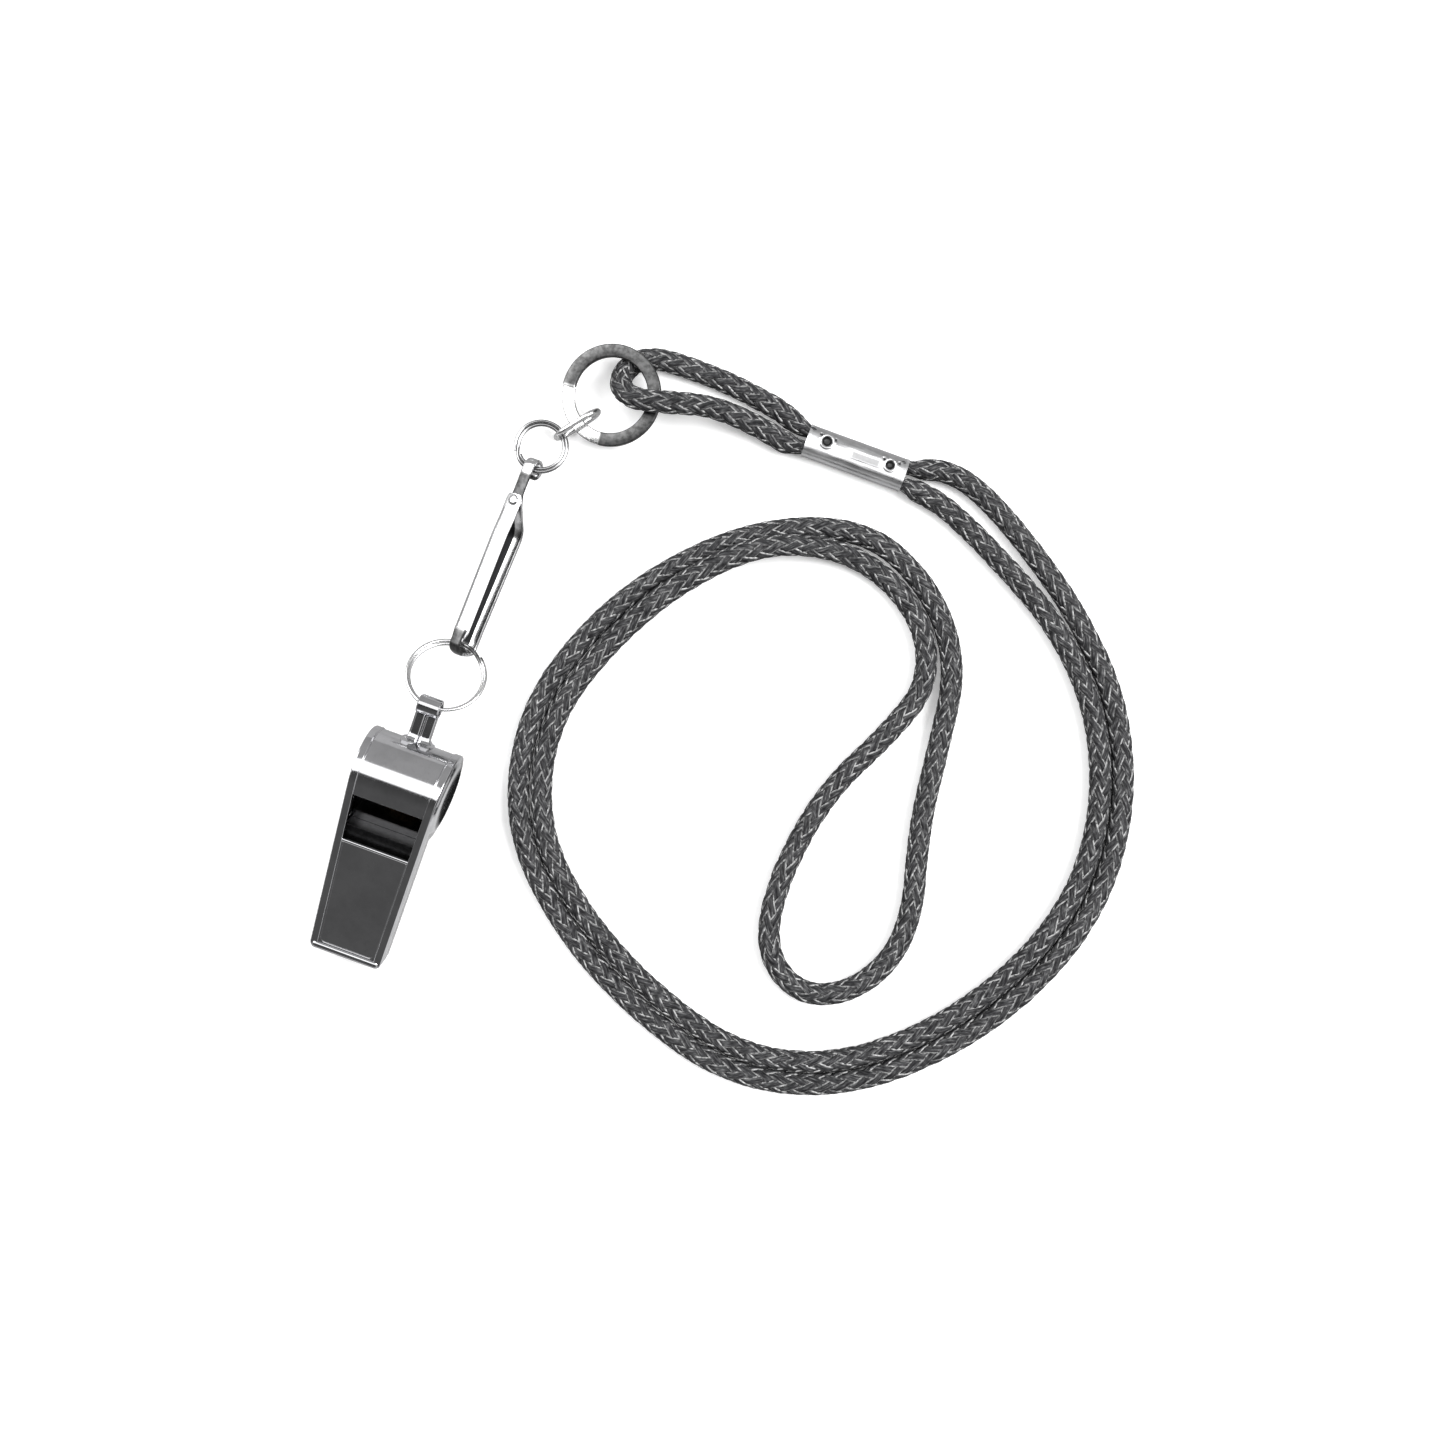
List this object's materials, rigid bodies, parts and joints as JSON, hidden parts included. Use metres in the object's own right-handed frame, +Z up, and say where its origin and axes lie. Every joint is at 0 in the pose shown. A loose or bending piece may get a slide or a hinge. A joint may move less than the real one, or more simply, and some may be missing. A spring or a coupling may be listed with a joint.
{
  "type": "training whistle with lanyard",
  "caption": "Pea whistle of nickel-plated sheet with a mouthpiece, sound window and cork ball, chained by split rings, a snap hook and a link to a braided neck cord with a crimped ferrule.",
  "frame": {"origin": "on the surface that the object lies on, below the middle of the whistle and its hardware, the two cord nodes left out", "axes": "+Y from the whistle's mouthpiece to its rear lug and along the chain of hardware, +X to the whistle's right, +Z up"},
  "size_m": [0.1711, 0.1568, 0.0205],
  "materials": {
    "nickel_plate": "glossy nickel plate",
    "bright_wire": "bright plated wire",
    "steel_band": "drawn steel band",
    "steel_strip": "bright rolled strip",
    "cork": "dull cork",
    "braid": "braided dark grey cord with pale flecks"
  },
  "bodies": {
    "lanyard": {"crimp_ferrule": "steel_strip", "neck_cord": "braid", "ring_loop_cord": "braid"},
    "large_ring": {"large_split_ring": "steel_band"},
    "link": {"oval_link": "bright_wire"},
    "small_ring": {"small_split_ring": "bright_wire"},
    "hook": {"hook_body": "steel_strip", "gate_root": "steel_strip", "hook_rivet": "steel_strip"},
    "gate": {"gate_blade": "steel_strip"},
    "lower_ring": {"lower_split_ring": "bright_wire"},
    "whistle": {"barrel_strip": "nickel_plate", "mouthpiece_roof": "nickel_plate", "windway_floor": "nickel_plate", "right_side_plate": "nickel_plate", "left_side_plate": "nickel_plate", "mouthpiece_bead": "nickel_plate", "rear_lug": "nickel_plate"},
    "pea": {"cork_pea": "cork"}
  },
  "joints": [
    {"name": "large_ring_swing", "type": "hinge", "parent": "lanyard", "child": "large_ring", "pos_m": [-0.01599, 0.0706, 0.0066], "axis": [-0.6428, 0.766, 0], "range_deg": [0, 20]},
    {"name": "link_swing", "type": "hinge", "parent": "large_ring", "child": "link", "pos_m": [-0.02816, 0.05612, 0.0035], "axis": [-0.788, 0.6157, 0], "range_deg": [0, 40]},
    {"name": "small_ring_swing", "type": "hinge", "parent": "link", "child": "small_ring", "pos_m": [-0.03076, 0.0528, 0.0035], "axis": [-0.788, 0.6157, 0], "range_deg": [0, 30]},
    {"name": "hook_swing", "type": "hinge", "parent": "small_ring", "child": "hook", "pos_m": [-0.03417, 0.04289, 0.00435], "axis": [1, 0, 0], "range_deg": [-30, 0]},
    {"name": "gate_flex", "type": "hinge", "parent": "hook", "child": "gate", "pos_m": [-0.03533, 0.03231, 0.00658], "axis": [0.9269, -0.0227, 0.3746], "range_deg": [0, 8], "stiffness_Nm_per_rad": 0.05},
    {"name": "lower_ring_swing", "type": "hinge", "parent": "hook", "child": "lower_ring", "pos_m": [-0.0355, -0.00069, 0.005], "axis": [1, 0, 0], "range_deg": [-35, 0]},
    {"name": "whistle_swing", "type": "hinge", "parent": "lower_ring", "child": "whistle", "pos_m": [-0.0362, -0.01604, 0.01254], "axis": [1, 0, 0], "range_deg": [-35, 0]},
    {"name": "pea_roll", "type": "hinge", "parent": "whistle", "child": "pea", "pos_m": [-0.0362, -0.0344, 0.01025], "axis": [1, 0, 0], "continuous": true}
  ]
}
